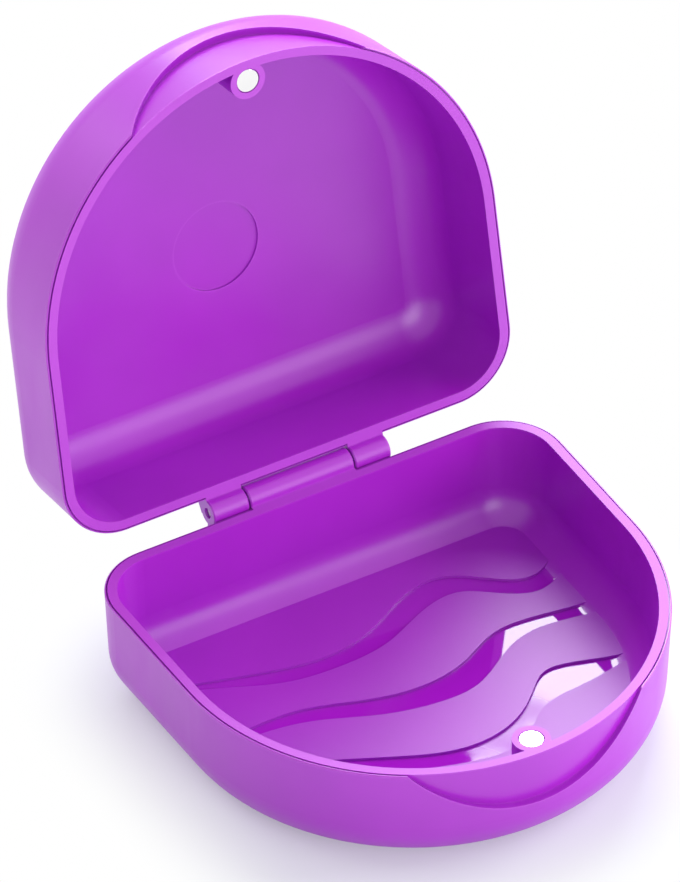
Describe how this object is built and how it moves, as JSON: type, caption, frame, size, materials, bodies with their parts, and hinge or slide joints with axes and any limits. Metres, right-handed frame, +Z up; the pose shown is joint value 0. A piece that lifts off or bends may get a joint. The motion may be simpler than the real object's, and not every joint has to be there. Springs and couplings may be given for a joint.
{
  "type": "denture case",
  "caption": "Pocket denture and retainer case: D-shaped tray with wavy drying grooves and a pinned flip lid held shut by disc magnets.",
  "frame": {"origin": "centre of the flat underside that the case rests on", "axes": "+Z up, -Y towards the thumb scoop at the front, +Y towards the hinge, X along the hinge pin"},
  "size_m": [0.0802, 0.1074, 0.0925],
  "materials": {
    "purple_plastic": "satin moulded polypropylene with polished groove floors",
    "pin_steel": "cut and chamfered wire",
    "magnet_plating": "bright nickel plating"
  },
  "bodies": {
    "base": {"base_shell": "purple_plastic", "base_magnet": "magnet_plating"},
    "lid": {"lid_shell": "purple_plastic", "lid_magnet": "magnet_plating", "hinge_pin": "pin_steel"}
  },
  "joints": [
    {"name": "lid_hinge", "type": "hinge", "parent": "base", "child": "lid", "pos_m": [0, 0.03883, 0.01925], "axis": [1, 0, 0], "range_deg": [0, 101.7]}
  ]
}
